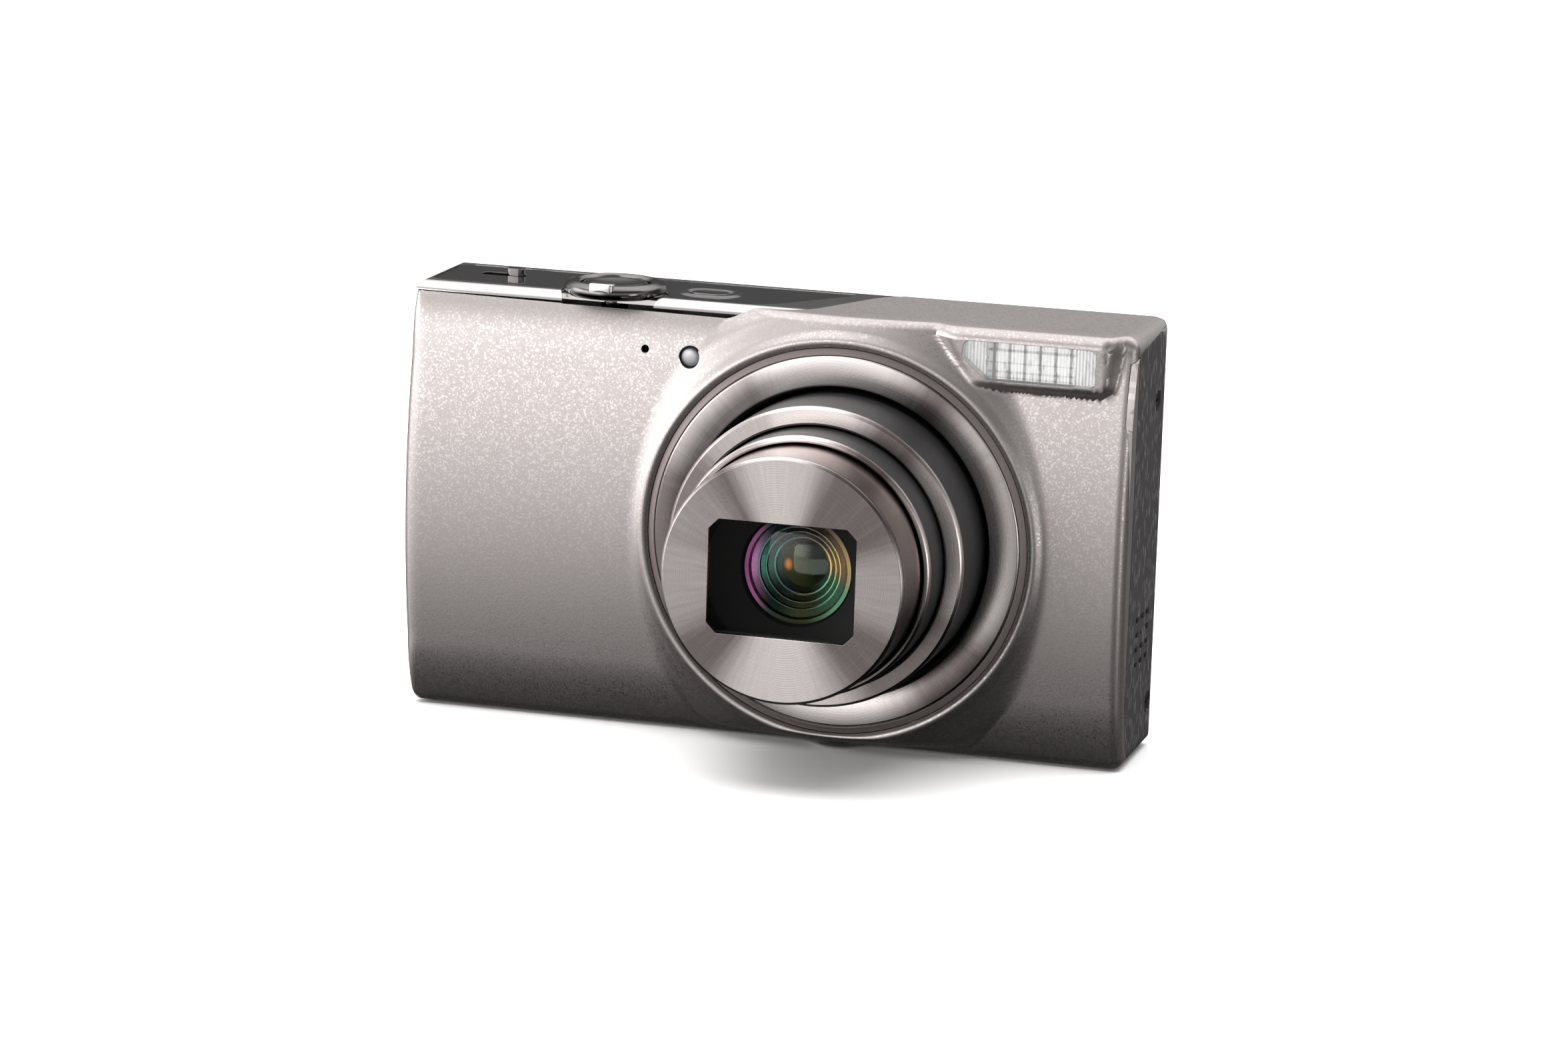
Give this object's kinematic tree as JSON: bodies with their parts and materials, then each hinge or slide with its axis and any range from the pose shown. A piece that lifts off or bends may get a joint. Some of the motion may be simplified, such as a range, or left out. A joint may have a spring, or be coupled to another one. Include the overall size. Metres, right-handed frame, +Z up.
{
  "type": "compact digital camera",
  "caption": "Slim compact digital camera with an extended telescopic zoom lens, flash, top controls, rear screen and keys, battery door and tripod socket.",
  "frame": {"origin": "middle of the flat base, under the middle of the body's width and depth", "axes": "+X to the right of someone who faces the lens, the lens looks along -Y, +Z up"},
  "size_m": [0.0995, 0.0483, 0.06],
  "materials": {
    "body_paint": "fine metallic paint, satin",
    "rear_paint": "fine metallic paint, satin",
    "plated_strip": "dark plated, satin",
    "dark_inlay": "high gloss black",
    "end_panel": "charcoal with a fine dash pattern",
    "stamped_steel": "stamped sheet",
    "trim_satin": "satin dark",
    "spun_ring": "spun, radial light streaks",
    "barrel_black": "satin charcoal",
    "polished_barrel": "polished, warm tint",
    "face_plate": "spun, warm tint",
    "barrier": "thin sheet, satin grey",
    "optical_black": "matt black",
    "lens_glass": "coated glass",
    "circuit": "solder mask",
    "motor_metal": "plated can",
    "clear_window": "clear ribbed plastic",
    "reflector": "vacuum-plated",
    "capacitor_sleeve": "shrink sleeve",
    "lamp_lens": "smoked lens",
    "screen_glass": "coated window",
    "screen_panel": "liquid crystal panel",
    "battery_wrap": "printed wrap",
    "latch_orange": "moulded",
    "card_plastic": "moulded",
    "screw_black": "blackened steel",
    "lever_chrome": "dark plated, gloss",
    "key_plastic": "painted, satin",
    "movie_key": "moulded",
    "key_carrier": "moulded"
  },
  "bodies": {
    "root": {"front_cover": "body_paint", "top_cover": "plated_strip", "top_panel": "dark_inlay", "rear_cover": "rear_paint", "side_cover_right": "end_panel", "side_cover_left": "end_panel", "chassis_frame": "stamped_steel", "lens_trim_ring": "trim_satin", "lens_decor_ring": "spun_ring", "lens_base_barrel": "barrel_black", "image_sensor": "circuit", "zoom_motor": "motor_metal", "flash_window": "clear_window", "flash_reflector": "reflector", "xenon_tube": "clear_window", "flash_capacitor": "capacitor_sleeve", "af_lamp_lens": "lamp_lens", "microphone": "optical_black", "main_board": "circuit", "key_board": "circuit", "lcd_panel": "screen_panel", "lcd_window": "screen_glass", "battery": "battery_wrap", "battery_holder": "optical_black", "memory_card": "card_plastic", "card_slot": "stamped_steel", "tripod_socket": "stamped_steel", "speaker": "optical_black", "strap_bar": "stamped_steel", "usb_port": "stamped_steel", "hdmi_port": "stamped_steel", "case_screws": "screw_black"},
    "barrel_1": {"barrel_1_tube": "barrel_black", "barrel_1_ring": "spun_ring"},
    "barrel_2": {"barrel_2_tube": "barrel_black", "barrel_2_ring": "spun_ring"},
    "barrel_3": {"barrel_3_tube": "polished_barrel", "lens_face_plate": "face_plate", "lens_hood": "optical_black", "front_lens": "lens_glass", "inner_lens": "lens_glass"},
    "blade_upper": {"barrier_blade_upper": "barrier"},
    "blade_lower": {"barrier_blade_lower": "barrier"},
    "leaf_upper": {"barrier_leaf_upper": "barrier"},
    "leaf_lower": {"barrier_leaf_lower": "barrier"},
    "mode_switch": {"mode_switch": "lever_chrome"},
    "zoom_lever": {"zoom_lever": "lever_chrome"},
    "shutter_button": {"shutter_button": "lever_chrome"},
    "power_button": {"power_button": "lever_chrome"},
    "movie_button": {"movie_button": "movie_key"},
    "playback_button": {"playback_button": "key_plastic"},
    "link_button": {"link_button": "key_plastic"},
    "menu_button": {"menu_button": "key_plastic"},
    "nav_pivot": {"nav_pivot": "key_carrier"},
    "nav_ring": {"nav_ring": "key_plastic"},
    "set_button": {"set_button": "key_plastic"},
    "door_hinge": {"door_hinge": "stamped_steel"},
    "battery_door": {"battery_door": "rear_paint"},
    "terminal_cover": {"terminal_cover": "end_panel"},
    "battery_latch": {"battery_latch": "latch_orange"}
  },
  "joints": [
    {"name": "zoom_1", "type": "slide", "parent": "root", "child": "barrel_1", "axis": [0, -1, 0], "range_m": [-0.0104, 0.0012]},
    {"name": "zoom_2", "type": "slide", "parent": "barrel_1", "child": "barrel_2", "axis": [0, -1, 0], "range_m": [-0.00625, 0.00073]},
    {"name": "zoom_3", "type": "slide", "parent": "barrel_2", "child": "barrel_3", "axis": [0, -1, 0], "range_m": [-0.00885, 0.00103]},
    {"name": "blade_upper_slide", "type": "slide", "parent": "barrel_3", "child": "blade_upper", "axis": [0, 0, 1], "range_m": [-0.00738, 0.00086]},
    {"name": "blade_lower_slide", "type": "slide", "parent": "barrel_3", "child": "blade_lower", "axis": [0, 0, -1], "range_m": [-0.00738, 0.00086]},
    {"name": "leaf_upper_slide", "type": "slide", "parent": "barrel_3", "child": "leaf_upper", "axis": [0, 0, 1], "range_m": [-0.00375, 0.00044]},
    {"name": "leaf_lower_slide", "type": "slide", "parent": "barrel_3", "child": "leaf_lower", "axis": [0, 0, -1], "range_m": [-0.00375, 0.00044]},
    {"name": "mode_switch_slide", "type": "slide", "parent": "root", "child": "mode_switch", "axis": [1, 0, 0], "range_m": [-0.0033, 0]},
    {"name": "zoom_lever_turn", "type": "hinge", "parent": "root", "child": "zoom_lever", "pos_m": [-0.0225, -0.0037, 0.058], "axis": [0, 0, 1], "range_deg": [-17, 17], "stiffness_Nm_per_rad": 0.02},
    {"name": "shutter_press", "type": "slide", "parent": "root", "child": "shutter_button", "axis": [0, 0, -1], "range_m": [0, 0.0004], "stiffness_N_per_m": 800},
    {"name": "power_press", "type": "slide", "parent": "root", "child": "power_button", "axis": [0, 0, -1], "range_m": [0, 0.0004], "stiffness_N_per_m": 800},
    {"name": "movie_button_press", "type": "slide", "parent": "root", "child": "movie_button", "axis": [0, -1, 0], "range_m": [0, 0.0003], "stiffness_N_per_m": 400},
    {"name": "playback_button_press", "type": "slide", "parent": "root", "child": "playback_button", "axis": [0, -1, 0], "range_m": [0, 0.0003], "stiffness_N_per_m": 400},
    {"name": "link_button_press", "type": "slide", "parent": "root", "child": "link_button", "axis": [0, -1, 0], "range_m": [0, 0.0003], "stiffness_N_per_m": 400},
    {"name": "menu_button_press", "type": "slide", "parent": "root", "child": "menu_button", "axis": [0, -1, 0], "range_m": [0, 0.0003], "stiffness_N_per_m": 400},
    {"name": "pad_tilt_up_down", "type": "hinge", "parent": "root", "child": "nav_pivot", "pos_m": [-0.0343, 0.0091, 0.0265], "axis": [1, 0, 0], "range_deg": [-1.5, 1.5], "stiffness_Nm_per_rad": 0.6},
    {"name": "pad_tilt_side", "type": "hinge", "parent": "nav_pivot", "child": "nav_ring", "pos_m": [-0.0343, 0.0091, 0.0265], "axis": [0, 0, 1], "range_deg": [-1.5, 1.5], "stiffness_Nm_per_rad": 0.6},
    {"name": "set_press", "type": "slide", "parent": "root", "child": "set_button", "axis": [0, -1, 0], "range_m": [0, 0.00015], "stiffness_N_per_m": 800},
    {"name": "door_slide", "type": "slide", "parent": "root", "child": "door_hinge", "axis": [-1, 0, 0], "range_m": [0, 0.0025]},
    {"name": "door_swing", "type": "hinge", "parent": "door_hinge", "child": "battery_door", "pos_m": [-0.0476, 0.0008, 0.0019], "axis": [0, 1, 0], "range_deg": [0, 95]},
    {"name": "terminal_cover_swing", "type": "hinge", "parent": "root", "child": "terminal_cover", "pos_m": [-0.04975, 0.0074, 0.0245], "axis": [0, 0, -1], "range_deg": [0, 100]},
    {"name": "battery_latch_slide", "type": "slide", "parent": "root", "child": "battery_latch", "axis": [1, 0, 0], "range_m": [0, 0.0015], "stiffness_N_per_m": 120}
  ],
  "couplings": [
    {"joint": "zoom_2", "follows": "zoom_1", "ratio": 0.6},
    {"joint": "zoom_3", "follows": "zoom_1", "ratio": 0.85},
    {"joint": "blade_upper_slide", "follows": "zoom_1", "ratio": 0.709},
    {"joint": "blade_lower_slide", "follows": "zoom_1", "ratio": 0.709},
    {"joint": "leaf_upper_slide", "follows": "zoom_1", "ratio": 0.36},
    {"joint": "leaf_lower_slide", "follows": "zoom_1", "ratio": 0.36}
  ]
}
